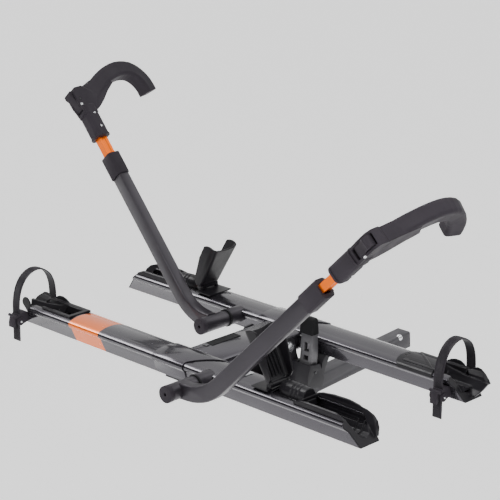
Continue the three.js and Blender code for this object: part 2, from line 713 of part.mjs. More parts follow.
function cradleLid(back) {
  const upright = (plan, z0, z1) => {
    const placed = plan.map(([along, y]) => [trayX(back.side, along), back.y + y]);
    return solidOf(extrude(placed, z1 - z0)).translate([0, 0, TRAY_BOTTOM + z0]);
  };
  const solidTray = (offset, margin) => traySection(
    back.y,
    grown(trayOutline, offset),
    trayX(back.side, 400 - margin),
    trayX(back.side, 560 + margin),
  );
  const skin = (from, to) => solidTray(to, 0).subtract(solidTray(from, 1));
  const plate = skin(GAP, 3.5).intersect(upright(lidPlan, 46, 80));
  const ridge = skin(GAP, 5.5).intersect(upright(lidRidge, 46, 80));
  const notches = lidNotches.map(([along, y]) => trayBlock(back, along, along + 8, y - 2, y + 2, 64.2, 80));
  return plate.add(ridge).subtract(union(notches));
}

TRAYS.forEach((tray) => {
  const back = { y: tray.y, side: -tray.side };
  const strapAlong = tray.label === 'outer' ? 632 : 590;
  const floor = trayProfile(back, cradleFloor, 520, 634);
  const nearWall = acrossTray(back, cradleNearWall, 8, 12);
  const sheet = trayProfile(back, cradleSheet, 520, 690).intersect(acrossTray(back, cradleSheetSide, 0, 80));
  const trayRoom = traySection(back.y, nearTray, trayX(back.side, 400), trayX(back.side, 700));
  const trayEndRoom = trayRoom.intersect(endWedge(back.y, END_PLATE));
  const lobes = acrossTray(back, cradleLobes, 71.5, 75.5).subtract(trayEndRoom);
  const flare = trayProfile(back, cradleFlare, 590, 690)
    .intersect(acrossTray(back, cradleLobes, 0, 80))
    .subtract(trayEndRoom);
  const farWall = trayBlock(back, 520, 600, 60.5, 64.6, 26, 62);
  const farRail = trayBlock(back, CRADLE_START - 10, 600, 66, 76, 50, 64.5).subtract(trayRoom);
  const farTie = trayBlock(back, 520, 600, 60.5, 68, 60, 64.5).subtract(trayRoom);
  const web = trayProfile(back, cradleWeb, 545, 549);
  const rim = trayBlock(back, CRADLE_START - 10, 560, -3, 72, 50, 64.5)
    .subtract(trayBlock(back, CRADLE_START + 4, 700, 6, 63, 0, 100))
    .subtract(trayRoom);
  const bridge = trayBlock(back, CRADLE_START + 2, 524, 8, 12, 40, 62);
  const bridgeFar = trayBlock(back, CRADLE_START + 2, 526, 60, 64.6, 40, 62);
  const rimTie = trayBlock(back, CRADLE_START + 0.5, CRADLE_START + 6, 5, 64, 56, 63);
  const end = traySection(back.y, trayOutline, trayX(back.side, 500), trayX(back.side, 700))
    .subtract(endWedge(back.y, END_PLATE))
    .intersect(endWedge(back.y, 0))
    .subtract(trayProfile(back, troughOutline, 500, 700));
  const endTie = trayBlock(back, 560, 640, 26, 44, 9, 16);
  const endRise = trayBlock(back, 560, 570, 26, 44, 9, 32);
  const frame = [rim, rimTie, bridge, bridgeFar, farWall, farRail, farTie, flare, endTie, endRise, end];
  if (tray.label === 'outer') {
    frame.push(acrossTray(back, cradleHorn, 8, 12));
  }
  if (tray.label === 'inner') {
    frame.push(cradleLid(back));
  }
  const cradle = union([floor, nearWall, sheet, lobes, web, ...frame]);
  const strapX = trayX(back.side, strapAlong);
  const strapAt = (points, halfWidth) => alongX(
    shifted(points, back.y, TRAY_BOTTOM),
    strapX - halfWidth,
    strapX + halfWidth,
  );
  const strapRoom = strapAt(ribbon(STRAP_THICK + 1), STRAP_WIDTH / 2 + 0.5);
  const trayClear = traySection(back.y, nearTray, strapX - 60, strapX + 60);
  addNode(`cradle_${tray.label}`, cradle.subtract(strapRoom), PLASTIC);
  addNode(`strap_${tray.label}`, strapAt(ribbon(STRAP_THICK), STRAP_WIDTH / 2), PLASTIC);

  const buckleSide = [
    [-46, 6], [-26, 4], [10, 14], [10, 36], [-24, 38], [-42, 34], [-47, 24],
  ];
  const buckle = strapAt(buckleSide, 15)
    .subtract(trayClear)
    .subtract(strapRoom);
  addNode(`buckle_${tray.label}`, buckle, PLASTIC);
  const leverHinge = [-48.5, 31];
  const latch = strapAt([[-49, 31], [-55, 28], [-59, 10], [-59, -2], [-56, -3], [-51, 6], [-48, 24]], 11);
  const knuckle = rodAlongX(
    back.y + leverHinge[0] - 3,
    TRAY_BOTTOM + leverHinge[1],
    4.5,
    strapX - 17,
    strapX + 17,
    16,
  );
  const buckleRoom = strapAt(grown(buckleSide, GAP), 16);
  addNode(`buckle_lever_${tray.label}`, latch.add(knuckle).subtract(buckleRoom), PLASTIC);
  const anchor = strapAt([[60, 14], [96, 20], [104, 26], [104, 38], [60, 38]], 14)
    .subtract(trayClear)
    .subtract(strapRoom);
  addNode(`strap_anchor_${tray.label}`, anchor, PLASTIC);
});

// ---- arms ---------------------------------------------------------------

const ARMS = [
  {
    label: 'outer',
    y: OUTER_TRAY_Y,
    mirror: 1,
    pivotX: 115,
    swing: 0,
    rodOut: 62,
  },
  {
    label: 'inner',
    y: INNER_TRAY_Y,
    mirror: -1,
    pivotX: -182,
    swing: 1.6,
    rodOut: 65,
  },
];

function pathSweep(curve, outline, steps, holes = []) {
  const shape = shapeOf(outline);
  holes.forEach((hole) => shape.holes.push(shapeOf(hole)));
  return solidOf(new THREE.ExtrudeGeometry(shape, { steps, bevelEnabled: false, extrudePath: curve }));
}

// A path given by its corner points, so that long straights take one step.
class CornerPath extends THREE.Curve {
  constructor(points) {
    super();
    this.points = points;
    this.steps = points.length - 1;
  }

  getPointAt(u) {
    return this.points[Math.round(u * this.steps)].clone();
  }

  getTangentAt(u) {
    const i = Math.round(u * this.steps);
    const before = this.points[Math.max(0, i - 1)];
    const after = this.points[Math.min(this.steps, i + 1)];
    return after.clone().sub(before).normalize();
  }
}

function armPath(start, corner, end, lead, bendSteps) {
  const inward = corner.clone().sub(start).normalize();
  const outward = end.clone().sub(corner).normalize();
  const from = corner.clone().addScaledVector(inward, -lead);
  const to = corner.clone().addScaledVector(outward, lead);
  const bend = new THREE.QuadraticBezierCurve3(from, corner, to);
  return new CornerPath([start, ...bend.getPoints(bendSteps), end]);
}

const ARM_CORNER = { across: 93, rise: 2 };
const ARM_TOP = { across: 468, rise: 381 };
const BEND_LEAD = 62;

// Middle line of the hook: along the arm, across the rack, then lift off the arm's plane.
const CROOK_LINE = [
  [92, 2, 0], [120, 18, 0], [150, 48, -1], [178, 90, -2], [200, 136, -4], [210, 180, -7], [205, 222, -13],
  [185, 250, -20], [158, 268, -28], [130, 274, -34],
];
const HEAD_PIVOT = { along: 128, across: -17 };

ARMS.forEach((arm) => {
  const { label, mirror } = arm;
  const axisZ = TRAY_BOTTOM + ARM_AXIS_HEIGHT;
  const planeY = arm.y + ARM_PLANE;
  const swing = THREE.MathUtils.degToRad(arm.swing);
  const place = ({ across, rise }) => new THREE.Vector3(
    arm.pivotX + mirror * (across * Math.cos(swing) - rise * Math.sin(swing)),
    planeY,
    axisZ + across * Math.sin(swing) + rise * Math.cos(swing),
  );
  const yaw = (solid) => solid
    .translate([-arm.pivotX, -planeY, 0])
    .rotate([0, 0, mirror * ARM_YAW_DEG])
    .translate([arm.pivotX, planeY, 0]);

  // fixed side: boss, ring and shaft
  const boss = rodAlongY(arm.pivotX, axisZ, ARM_BOSS_RADIUS, arm.y - 56, arm.y - 2)
    .subtract(traySection(arm.y, nearTray, arm.pivotX - 50, arm.pivotX + 50))
    .subtract(rodAlongY(arm.pivotX, axisZ, ARM_SHAFT_RADIUS + GAP, arm.y - 70, arm.y + 5));
  addNode(`arm_boss_${label}`, boss, ARM_GREY);
  const ring = rodAlongY(arm.pivotX, axisZ, ARM_BOSS_RADIUS + 1.5, arm.y - 62, arm.y - 56 - GAP)
    .subtract(rodAlongY(arm.pivotX, axisZ, ARM_SHAFT_RADIUS + GAP, arm.y - 70, arm.y - 50));
  addNode(`arm_ring_${label}`, ring, RUBBER);
  const shaft = rodAlongY(arm.pivotX, axisZ, ARM_SHAFT_RADIUS, arm.y - 144, arm.y - 18);
  addNode(`arm_shaft_${label}`, shaft, ZINC);

  // turning side: barrel, cap, tube and collar
  const barrel = rodAlongY(arm.pivotX, axisZ, ARM_BARREL_RADIUS, arm.y - 150, arm.y - 62 - GAP)
    .subtract(rodAlongY(arm.pivotX, axisZ, ARM_SHAFT_RADIUS + GAP, arm.y - 145, arm.y));
  addNode(`arm_barrel_${label}`, barrel, ARM_GREY);
  const cap = rodAlongY(arm.pivotX, axisZ, ARM_BARREL_RADIUS + 0.5, arm.y - 165, arm.y - 150 - GAP)
    .subtract(rodAlongY(arm.pivotX, axisZ, 5, arm.y - 170, arm.y - 158, 6));
  addNode(`arm_cap_${label}`, cap, PLASTIC);

  const corner = place(ARM_CORNER);
  const top = place(ARM_TOP);
  const along = top.clone().sub(corner).normalize();
  const tubeEnd = top.clone().addScaledVector(along, -4);
  const path = armPath(place({ across: 8, rise: 1 }), corner, tubeEnd, BEND_LEAD, 7);
  const outside = roundedRect(ARM_THICK, ARM_DEEP, ARM_CORNER_RADIUS);
  const inside = roundedRect(ARM_THICK - 2 * ARM_WALL, ARM_DEEP - 2 * ARM_WALL, ARM_CORNER_RADIUS - 3);
  const aroundBarrel = rodAlongY(arm.pivotX, axisZ, ARM_BARREL_RADIUS + GAP, arm.y - 170, arm.y);
  const tube = yaw(pathSweep(path, outside, path.steps, [inside])).subtract(aroundBarrel);
  addNode(`arm_tube_${label}`, tube, ARM_GREY);

  // local frame of the telescoping end: X along the tube, Y as the rack
  const up = new THREE.Vector3().crossVectors(along, Y_AXIS);
  const frame = new THREE.Matrix4().makeBasis(along, Y_AXIS, up).setPosition(top);
  const placed = (solid) => yaw(solid.transform(frame.toArray()));
  const slab = (deep, thick, radius, from, to) => placed(
    alongX(roundedRect(thick, deep, radius), from, to),
  );

  const tubeDeep = ARM_DEEP + 2 * GAP;
  const tubeThick = ARM_THICK + 2 * GAP;
  const tubeRoom = slab(tubeDeep, tubeThick, ARM_CORNER_RADIUS, -COLLAR_LENGTH - 5, -4 + GAP);
  const rodRoomAtCollar = slab(ROD_DEEP + 2 * GAP, ROD_THICK + 2 * GAP, 3, -20, 5);
  const eyelet = placed(solidOf(new THREE.CylinderGeometry(6, 6, 5, 16)
    .rotateX(Math.PI / 2)
    .translate(-6, 21.5, -mirror * 12)));
  const collar = slab(ARM_DEEP + 8, ARM_THICK + 8, 10, -COLLAR_LENGTH, 0)
    .add(eyelet)
    .subtract(tubeRoom)
    .subtract(rodRoomAtCollar);
  addNode(`arm_collar_${label}`, collar, PLASTIC);

  // sliding side: rod, hook head, cross pin and trigger
  const headStart = arm.rodOut;
  const rod = slab(ROD_DEEP, ROD_THICK, 3, -260, headStart + 40);
  addNode(`hook_rod_${label}`, rod, ORANGE);

  const local = (solid) => placed(solid.translate([headStart, 0, 0]));
  const sleeve = alongX(roundedRect(46, 50, 14), 0, 104).translate([0, 0, mirror]);
  const block = solidOf(extrude(
    [[78, -20], [92, -23], [118, -29], [154, -30], [168, -19], [170, 8], [144, 34], [92, 26]],
    44,
  )).translate([0, 0, -22]);
  const neck = solidOf(extrude(
    [
      [84, -22], [80, 14], [92, 40], [112, 66], [140, 96], [164, 128], [200, 104], [182, 44], [160, -6],
      [150, -24],
    ],
    42,
  )).translate([0, 0, -21]).rotate([-mirror * 3, 0, 0]);
  const crookPath = new THREE.CatmullRomCurve3(
    CROOK_LINE.map(([a, b, lift]) => new THREE.Vector3(a, b, mirror * lift)),
  );
  const crook = pathSweep(crookPath, roundedRect(44, 50, 9), 22);
  const pocket = solidOf(extrude(
    [[90, -70], [164, -70], [164, -16], [146, -7], [112, -7], [90, -10]],
    30,
  )).translate([0, 0, -15]);
  const rodRoom = alongX(roundedRect(ROD_THICK + 2 * GAP, ROD_DEEP + 2 * GAP, 3), -5, 40 + GAP);
  const crossRod = (radius, length) => solidOf(new THREE.CylinderGeometry(radius, radius, length, 16)
    .rotateX(Math.PI / 2)
    .translate(HEAD_PIVOT.along, HEAD_PIVOT.across, 0));
  const head = union([sleeve, block, neck, crook])
    .subtract(pocket)
    .subtract(rodRoom)
    .subtract(crossRod(3 + GAP, 80));
  addNode(`hook_head_${label}`, local(head), PLASTIC);
  addNode(`hook_pin_${label}`, local(crossRod(3, 45)), ZINC);
  const trigger = solidOf(extrude(
    [
      [92.5, -13], [96, -20], [108, -26], [122, -27], [132, -32], [146, -41], [156, -41], [161, -35],
      [159, -19], [138, -9.5], [116, -9.5],
    ],
    28.5,
  )).translate([0, 0, -14.25]);
  addNode(`hook_trigger_${label}`, local(trigger.subtract(crossRod(3 + GAP, 80))), PLASTIC);
});

export default rack;
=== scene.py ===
import json
import math

import bmesh
import bpy
from mathutils import Matrix, Vector


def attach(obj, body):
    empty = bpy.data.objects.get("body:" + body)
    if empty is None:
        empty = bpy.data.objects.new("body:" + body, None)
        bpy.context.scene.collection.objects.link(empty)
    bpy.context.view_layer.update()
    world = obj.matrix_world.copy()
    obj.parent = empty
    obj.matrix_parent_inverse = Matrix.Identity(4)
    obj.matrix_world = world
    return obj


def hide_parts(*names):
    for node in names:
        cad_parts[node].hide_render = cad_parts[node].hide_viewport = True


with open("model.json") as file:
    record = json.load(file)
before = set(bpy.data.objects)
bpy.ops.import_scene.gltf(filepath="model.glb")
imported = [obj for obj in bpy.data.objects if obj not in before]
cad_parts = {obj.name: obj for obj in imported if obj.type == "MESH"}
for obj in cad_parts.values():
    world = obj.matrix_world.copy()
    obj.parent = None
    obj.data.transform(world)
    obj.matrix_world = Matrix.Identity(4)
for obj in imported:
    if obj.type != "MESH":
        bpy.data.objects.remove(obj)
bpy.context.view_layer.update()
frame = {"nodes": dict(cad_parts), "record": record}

NODES = frame["nodes"]
MM = 0.001
TRAY_Y = {"outer": -802, "inner": -396}
TRAY_Z = 132

# ---- materials ------------------------------------------------------------

GRAIN_HEIGHT = 0.0004
GRAIN_DETAIL = 3.0
DRIFT_SCALE, DRIFT_DETAIL = 9.0, 5.0
WEAR_SCALE, WEAR_DETAIL = 38.0, 6.0


def shader(name, color, metallic, rough, **fixed):
    """A Principled material whose constants are set straight on the sockets."""
    mat = bpy.data.materials.new(name)
    mat.use_nodes = True
    tree = mat.node_tree
    bsdf = tree.nodes["Principled BSDF"]
    bsdf.inputs["Base Color"].default_value = (*color, 1)
    bsdf.inputs["Metallic"].default_value = metallic
    bsdf.inputs["Roughness"].default_value = rough
    for key, value in fixed.items():
        bsdf.inputs[key.replace("_", " ")].default_value = value
    return mat, tree, bsdf


def noise(tree, scale, detail=4.0):
    coord = tree.nodes.new("ShaderNodeTexCoord")
    tex = tree.nodes.new("ShaderNodeTexNoise")
    tex.inputs["Scale"].default_value = scale
    tex.inputs["Detail"].default_value = detail
    tree.links.new(coord.outputs["Object"], tex.inputs["Vector"])
    return tex.outputs["Fac"]


def ramp(tree, fac, low, high, start=0.3, end=0.7):
    """Straight from low at start to high at end, and level beyond them."""
    node = tree.nodes.new("ShaderNodeMapRange")
    node.inputs["From Min"].default_value = start
    node.inputs["From Max"].default_value = end
    node.inputs["To Min"].default_value = low
    node.inputs["To Max"].default_value = high
    tree.links.new(fac, node.inputs["Value"])
    return node.outputs["Result"]


def mix_color(tree, fac, first, second):
    node = tree.nodes.new("ShaderNodeMix")
    node.data_type = "RGBA"
    for socket, value in ((node.inputs["A"], first), (node.inputs["B"], second)):
        if isinstance(value, tuple):
            socket.default_value = (*value, 1)
        else:
            tree.links.new(value, socket)
    tree.links.new(fac, node.inputs["Factor"])
    return node.outputs["Result"]


def arithmetic(tree, operation, first, second):
    node = tree.nodes.new("ShaderNodeMath")
    node.operation = operation
    for socket, value in ((node.inputs[0], first), (node.inputs[1], second)):
        if isinstance(value, (int, float)):
            socket.default_value = value
        else:
            tree.links.new(value, socket)
    return node.outputs[0]


def bump(tree, bsdf, height, strength):
    """Surface grain only; every visible shape is geometry."""
    node = tree.nodes.new("ShaderNodeBump")
    node.inputs["Strength"].default_value = strength
    node.inputs["Distance"].default_value = GRAIN_HEIGHT
    tree.links.new(height, node.inputs["Height"])
    tree.links.new(node.outputs["Normal"], bsdf.inputs["Normal"])


def drift_color(tree, color, tint):
    """The colour with a slow darker and lighter drift over the piece."""
    drift = ramp(tree, noise(tree, DRIFT_SCALE, DRIFT_DETAIL), 0.0, 1.0)
    darker = tuple(c * (1 - tint) for c in color)
    lighter = tuple(c * (1 + tint) for c in color)
    return mix_color(tree, drift, darker, lighter)


def wear(tree, bsdf, rough, spread, grain, depth):
    """Patchy roughness around a middle value, and a fine grain."""
    worn = ramp(tree, noise(tree, WEAR_SCALE, WEAR_DETAIL), rough - spread, rough + spread)
    tree.links.new(worn, bsdf.inputs["Roughness"])
    bump(tree, bsdf, noise(tree, grain, GRAIN_DETAIL), depth)


def finish_of(name, color, metallic, rough, spread, tint, grain, depth, **fixed):
    """A finish whose colour drifts, whose roughness is patchy and whose surface has a grain."""
    mat, tree, bsdf = shader(name, color, metallic, rough, **fixed)
    tree.links.new(drift_color(tree, color, tint), bsdf.inputs["Base Color"])
    wear(tree, bsdf, rough, spread, grain, depth)
    return mat


GUNMETAL = (0.058, 0.054, 0.064)
GUNMETAL_METALLIC = 0.75
GUNMETAL_ROUGH = 0.24
GUNMETAL_WEAR = {"spread": 0.04, "grain": 1500.0, "depth": 0.03}
GUNMETAL_TINT = 0.1
GUNMETAL_COAT = {"Coat_Weight": 0.5, "Coat_Roughness": 0.08}
ORANGE_COLOR = (0.86, 0.15, 0.0)

PAINT = finish_of(
    "gunmetal", GUNMETAL, GUNMETAL_METALLIC, GUNMETAL_ROUGH, tint=GUNMETAL_TINT,
    **GUNMETAL_WEAR, **GUNMETAL_COAT,
)
POWDER = finish_of(
    "powder coat", (0.02, 0.019, 0.022), metallic=0.0, rough=0.42, spread=0.06, tint=0.15,
    grain=900.0, depth=0.22, Specular_IOR_Level=0.25,
)
LIGHT_POWDER = finish_of(
    "tongue coat", (0.05, 0.048, 0.054), metallic=0.0, rough=0.38, spread=0.05, tint=0.12,
    grain=900.0, depth=0.2, Specular_IOR_Level=0.25,
)
ARM = finish_of(
    "arm anodise", (0.034, 0.030, 0.037), metallic=0.45, rough=0.34, spread=0.05, tint=0.1,
    grain=1300.0, depth=0.08,
)
ORANGE = finish_of(
    "orange anodise", ORANGE_COLOR, metallic=0.85, rough=0.34, spread=0.05, tint=0.06,
    grain=1200.0, depth=0.06,
)
PLASTIC = finish_of(
    "moulded plastic", (0.034, 0.0295, 0.036), metallic=0.0, rough=0.46, spread=0.07, tint=0.15,
    grain=1100.0, depth=0.2, Specular_IOR_Level=0.07,
)
BLACK_PLASTIC = finish_of(
    "black plastic", (0.012, 0.011, 0.0135), metallic=0.0, rough=0.36, spread=0.06, tint=0.15,
    grain=1100.0, depth=0.2, Specular_IOR_Level=0.22,
)
SATIN = finish_of(
    "satin plastic", (0.014, 0.013, 0.0155), metallic=0.0, rough=0.33, spread=0.05, tint=0.12,
    grain=1100.0, depth=0.14, Specular_IOR_Level=0.18,
)
STRAP = finish_of(
    "strap plastic", (0.027, 0.024, 0.029), metallic=0.0, rough=0.45, spread=0.06, tint=0.15,
    grain=1100.0, depth=0.2, Specular_IOR_Level=0.12,
)
RUBBER = finish_of(
    "rubber", (0.01, 0.01, 0.011), metallic=0.0, rough=0.6, spread=0.08, tint=0.2,
    grain=800.0, depth=0.3, Specular_IOR_Level=0.15,
)
DARK_STEEL = finish_of(
    "blackened steel", (0.05, 0.05, 0.053), metallic=0.8, rough=0.35, spread=0.06, tint=0.1,
    grain=800.0, depth=0.1,
)
CAST = finish_of(
    "cast lever", (0.12, 0.118, 0.125), metallic=0.5, rough=0.42, spread=0.06, tint=0.12,
    grain=700.0, depth=0.3,
)
ZINC = finish_of(
    "zinc", (0.72, 0.73, 0.75), metallic=1.0, rough=0.25, spread=0.07, tint=0.06,
    grain=700.0, depth=0.12,
)

# The orange band of the outer tray, in metres along the tray (X).
BAND_LEFT = -0.444
BAND_RIGHT = -0.32
BAND_FADE = 0.0005
BAND_METALLIC = 0.3
BAND_TINT = 0.05
BAND_MIDDLE_Y = -0.775
BAND_BOW_WIDTH = 7.0
BAND_BOW = 0.03
SHOULDER_Z = 0.182
FALL_POWER, FALL_SHIFT = 1.4, 1.1


def banded_paint():
    """The tray paint with one orange band round it. The band's edges arch along the tray."""
    mat, tree, bsdf = shader(
        "gunmetal with band", GUNMETAL, GUNMETAL_METALLIC, GUNMETAL_ROUGH, **GUNMETAL_COAT,
    )
    coord = tree.nodes.new("ShaderNodeTexCoord")
    split = tree.nodes.new("ShaderNodeSeparateXYZ")
    tree.links.new(coord.outputs["Object"], split.inputs["Vector"])

    def calc(operation, first, second):
        return arithmetic(tree, operation, first, second)

    across = calc("MULTIPLY", calc("SUBTRACT", split.outputs["Y"], BAND_MIDDLE_Y), BAND_BOW_WIDTH)
    bow = calc("MULTIPLY", calc("POWER", calc("ABSOLUTE", across, 0), 2.0), BAND_BOW)
    fall = calc("MAXIMUM", calc("SUBTRACT", SHOULDER_Z, split.outputs["Z"]), 0.0)
    drop = calc("MULTIPLY", calc("POWER", fall, FALL_POWER), FALL_SHIFT)
    shifted = calc("SUBTRACT", calc("SUBTRACT", split.outputs["X"], drop), bow)
    left = ramp(tree, shifted, 0.0, 1.0, BAND_LEFT - BAND_FADE, BAND_LEFT + BAND_FADE)
    right = ramp(tree, shifted, 1.0, 0.0, BAND_RIGHT - BAND_FADE, BAND_RIGHT + BAND_FADE)
    band = calc("MULTIPLY", left, right)

    plain = drift_color(tree, GUNMETAL, GUNMETAL_TINT)
    orange = drift_color(tree, ORANGE_COLOR, BAND_TINT)
    tree.links.new(mix_color(tree, band, plain, orange), bsdf.inputs["Base Color"])
    metallic = ramp(tree, band, GUNMETAL_METALLIC, BAND_METALLIC, 0.0, 1.0)
    tree.links.new(metallic, bsdf.inputs["Metallic"])
    wear(tree, bsdf, GUNMETAL_ROUGH, **GUNMETAL_WEAR)
    return mat


SLOTS = {
    "gunmetal_paint": PAINT,
    "black_powder_coat": POWDER,
    "arm_anodise": ARM,
    "orange_anodise": ORANGE,
    "black_plastic": PLASTIC,
    "strap_plastic": STRAP,
    "black_rubber": RUBBER,
    "zinc_steel": ZINC,
}
OWN_FINISH = {
    "tray_outer": banded_paint(),
    "hitch_tube": LIGHT_POWDER,
    "tilt_lever": CAST,
    "chock_pin_outer": DARK_STEEL,
    "chock_pin_inner": DARK_STEEL,
    "lever_pin": DARK_STEEL,
    "hook_pin_outer": DARK_STEEL,
    "hook_pin_inner": DARK_STEEL,
    "chock_outer": BLACK_PLASTIC,
    "chock_inner": BLACK_PLASTIC,
    "chock_plate_outer": BLACK_PLASTIC,
    "chock_plate_inner": BLACK_PLASTIC,
    "cradle_outer": SATIN,
    "cradle_inner": SATIN,
    "wheel_cup_outer": SATIN,
    "wheel_cup_inner": SATIN,
}
SLOT_OF = {s["node"]: s["material_slot"] for s in frame["record"]["subparts"]}

# ---- CAD nodes ------------------------------------------------------------

WELD_DISTANCE = 0.00001
FLAT_ANGLE = math.radians(0.6)
SHARP_ANGLE = math.radians(28)
EDGE_SEGMENTS = 3
DEFAULT_EDGE = 1.0

# Radius in mm of the rounded edges, and 0 for none.
EDGE = {
    "cam_ball": 0,
    "clamp_plate": 1.2,
    "hitch_tube": 0.8,
    "pivot_bracket": 1.5,
    "pivot_bolt": 1.0,
    "pivot_nut": 1.0,
    "tray": 0.5,
    "tray_lug": 0.5,
    "saddle": 0.6,
    "arm_tube": 0.8,
    "strap": 0.8,
    "spine_inlay": 0.4,
}
# Voxel size in mm and smoothing passes of the parts that are rounded all over.
MOULDED = {
    "hook_head": (1.4, 6),
    "chock": (1.0, 4),
    "wheel_cup": (1.15, 4),
    "cradle": (1.0, 3),
    "lever_pad": (1.0, 8),
}


def mould(obj, grid, passes):
    """Rounds every edge of a moulded part, as a plastic part leaves its tool."""
    weld = obj.modifiers.new("weld", "WELD")
    weld.merge_threshold = WELD_DISTANCE
    remesh = obj.modifiers.new("skin", "REMESH")
    remesh.mode = "VOXEL"
    remesh.voxel_size = grid * MM
    remesh.use_smooth_shade = True
    relax = obj.modifiers.new("relax", "SMOOTH")
    relax.factor = 0.5
    relax.iterations = passes


def soften(obj, radius):
    """Merges the CAD facets into flat faces, rounds the sharp edges and shades the rest smooth."""
    weld = obj.modifiers.new("weld", "WELD")
    weld.merge_threshold = WELD_DISTANCE
    flat = obj.modifiers.new("flat faces", "DECIMATE")
    flat.decimate_type = "DISSOLVE"
    flat.angle_limit = FLAT_ANGLE
    if radius > 0:
        bevel = obj.modifiers.new("edges", "BEVEL")
        bevel.width = radius * MM
        bevel.segments = EDGE_SEGMENTS
        bevel.limit_method = "ANGLE"
        bevel.angle_limit = SHARP_ANGLE
        bevel.harden_normals = True
        bevel.use_clamp_overlap = True


for name, node in NODES.items():
    node.data.materials.clear()
    node.data.materials.append(OWN_FINISH.get(name, SLOTS[SLOT_OF[name]]))
    key = name
    for end in ("_outer", "_inner"):
        key = key.removesuffix(end)
    for poly in node.data.polygons:
        poly.use_smooth = True
    if key in MOULDED:
        mould(node, *MOULDED[key])
    else:
        soften(node, EDGE.get(key, DEFAULT_EDGE))

# ---- building extra pieces ------------------------------------------------


def add_piece(name, mesh, matrix, body, material, edge=0.6, smooth=True):
    """A piece from a bmesh in local millimetres, placed by a matrix in metres, riding on a body."""
    data = bpy.data.meshes.new(name)
    bmesh.ops.recalc_face_normals(mesh, faces=mesh.faces)
    mesh.transform(matrix @ Matrix.Scale(MM, 4))
    mesh.to_mesh(data)
    mesh.free()
    obj = bpy.data.objects.new(name, data)
    bpy.context.scene.collection.objects.link(obj)
    data.materials.append(material)
    for poly in data.polygons:
        poly.use_smooth = smooth
    if edge > 0:
        bevel = obj.modifiers.new("edges", "BEVEL")
        bevel.width = edge * MM
        bevel.segments = 2
        bevel.limit_method = "ANGLE"
        bevel.angle_limit = math.radians(30)
        bevel.harden_normals = True
    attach(obj, body)
    return obj


def prism(mesh, points, low, high):
    """Adds an outline in (x, y) standing from low to high in z."""
    bottom = [mesh.verts.new((x, y, low)) for x, y in points]
    top = [mesh.verts.new((x, y, high)) for x, y in points]
    mesh.faces.new(bottom[::-1])
    mesh.faces.new(top)
    count = len(points)
    for i in range(count):
        j = (i + 1) % count
        mesh.faces.new((bottom[i], bottom[j], top[j], top[i]))


def block(mesh, x0, x1, y0, y1, z0, z1):
    prism(mesh, [(x0, y0), (x1, y0), (x1, y1), (x0, y1)], z0, z1)


CIRCLE_STEPS = 32
RIVET_STEPS = 20


def circle(cx, cy, radius, count=CIRCLE_STEPS):
    steps = [2 * math.pi * i / count for i in range(count)]
    return [(cx + radius * math.cos(a), cy + radius * math.sin(a)) for a in steps]


def turned(mesh, profile, count, cx, cy):
    """Adds a solid of revolution about z from (radius, height) pairs. Its ends sit on the axis."""
    rings = []
    for radius, height in profile:
        if radius < 1e-6:
            rings.append([mesh.verts.new((cx, cy, height))])
        else:
            rings.append([mesh.verts.new((x, y, height)) for x, y in circle(cx, cy, radius, count)])
    for low, high in zip(rings, rings[1:]):
        for i in range(count):
            j = (i + 1) % count
            if len(low) == 1:
                mesh.faces.new((low[0], high[j], high[i]))
            elif len(high) == 1:
                mesh.faces.new((low[i], low[j], high[0]))
            else:
                mesh.faces.new((low[i], low[j], high[j], high[i]))


# Rivet head as (radius, height) pairs in mm.
DOME = [(0, -1.0), (3.0, -1.0), (3.0, 0.2), (2.8, 0.9), (2.2, 1.6), (1.2, 2.1), (0, 2.3)]


def dome(mesh, x, y, z, size, hand=1):
    """Adds a rivet head standing on the plane z, towards +z or -z."""
    turned(mesh, [(r * size, z + hand * h * size) for r, h in DOME], RIVET_STEPS, x, y)


# ---- hook heads, rods and collars -------------------------------------------

# Lengths in mm. "out" is how far the rod stands out of the tube, and "rivet" is on the head's near side.
ARM_SIDES = {
    "outer": {
        "y": TRAY_Y["outer"], "mirror": 1, "pivot": 115, "swing": 0.0, "out": 62, "rivet": (124, -36),
    },
    "inner": {
        "y": TRAY_Y["inner"], "mirror": -1, "pivot": -182, "swing": 1.6, "out": 65, "rivet": (109, -21),
    },
}
# The arm's pivot beside its tray, and two points (across, rise) of the tube's line from that pivot.
PIVOT_ASIDE, PIVOT_Z = 109, 172
TUBE_TOP, TUBE_FOOT = (468, 381), (93, 2)
ARM_YAW = math.radians(3.3)


def arm_frame(arm):
    """Matrix in metres of the telescoping end: x along the tube, y across the rack, z off the side."""
    swing = math.radians(arm["swing"])
    hand = arm["mirror"]

    def place(across, rise):
        return Vector((
            hand * (across * math.cos(swing) - rise * math.sin(swing)),
            0,
            across * math.sin(swing) + rise * math.cos(swing),
        ))

    top = place(*TUBE_TOP)
    along = (top - place(*TUBE_FOOT)).normalized()
    side = along.cross(Vector((0, 1, 0)))
    basis = Matrix((along, Vector((0, 1, 0)), side)).transposed().to_4x4()
    centre = Vector((arm["pivot"], arm["y"] - PIVOT_ASIDE, PIVOT_Z)) * MM
    local = Matrix.Translation(top * MM) @ basis
    return Matrix.Translation(centre) @ Matrix.Rotation(hand * ARM_YAW, 4, "Z") @ local


def grooved(width, height, groove, deep):
    """A rod section: a rectangle with a groove cut in the middle of each wide face."""
    w, h, g = width / 2, height / 2, groove / 2
    return [
        (w, -h), (w, h), (g + deep, h), (g, h - deep), (-g, h - deep), (-g - deep, h),
        (-w, h), (-w, -h), (-g - deep, -h), (-g, -h + deep), (g, -h + deep), (g + deep, -h),
    ]


# Section (y, z) swept along x: a prism stands along z, so its axes are turned.
ALONG_X = Matrix(((0, 0, 1, 0), (1, 0, 0, 0), (0, 1, 0, 0), (0, 0, 0, 1)))

